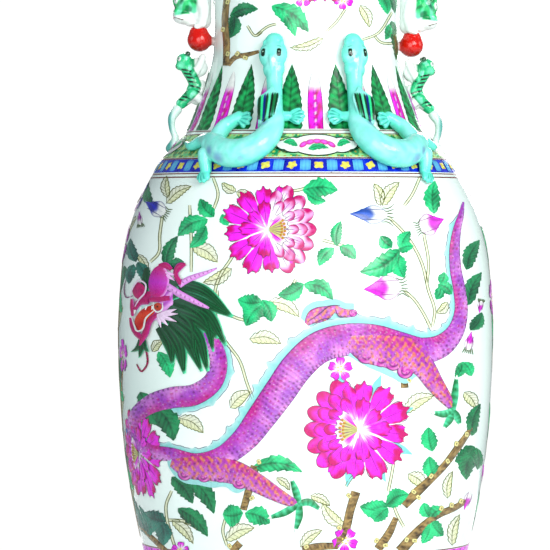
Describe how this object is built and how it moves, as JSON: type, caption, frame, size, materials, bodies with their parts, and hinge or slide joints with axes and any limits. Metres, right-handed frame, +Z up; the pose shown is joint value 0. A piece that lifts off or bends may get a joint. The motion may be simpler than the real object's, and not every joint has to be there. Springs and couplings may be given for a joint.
{
  "type": "porcelain vase",
  "caption": "Tall baluster vase of enamelled porcelain with a flared mouth, lion handles on the neck and applied dragons on the shoulder.",
  "frame": {"origin": "centre of the foot ring's resting face, on the turning axis", "axes": "+Z up along the turning axis, -Y out of the front of the vase, +X to the viewer's right, through the right-hand handle"},
  "size_m": [0.2374, 0.2374, 0.622],
  "materials": {
    "porcelain": "gloss",
    "turquoise_glaze": "gloss",
    "green_enamel": "gloss",
    "coral_red_enamel": "gloss"
  },
  "bodies": {
    "root": {"foot_ring": "porcelain", "lower_body": "porcelain", "upper_body": "porcelain", "neck": "porcelain", "flared_rim": "porcelain", "chilong_front_left_body": "turquoise_glaze", "chilong_front_left_fore_leg": "turquoise_glaze", "chilong_front_left_upper_hind_leg": "turquoise_glaze", "chilong_front_left_lower_hind_leg": "turquoise_glaze", "chilong_front_right_body": "turquoise_glaze", "chilong_front_right_fore_leg": "turquoise_glaze", "chilong_front_right_upper_hind_leg": "turquoise_glaze", "chilong_front_right_lower_hind_leg": "turquoise_glaze", "chilong_back_left_body": "turquoise_glaze", "chilong_back_left_fore_leg": "turquoise_glaze", "chilong_back_left_upper_hind_leg": "turquoise_glaze", "chilong_back_left_lower_hind_leg": "turquoise_glaze", "chilong_back_right_body": "turquoise_glaze", "chilong_back_right_fore_leg": "turquoise_glaze", "chilong_back_right_upper_hind_leg": "turquoise_glaze", "chilong_back_right_lower_hind_leg": "turquoise_glaze", "left_lion": "green_enamel", "left_ball": "coral_red_enamel", "left_cub": "green_enamel", "left_tail_loop": "porcelain", "right_lion": "green_enamel", "right_ball": "coral_red_enamel", "right_cub": "green_enamel", "right_tail_loop": "porcelain"}
  },
  "joints": []
}
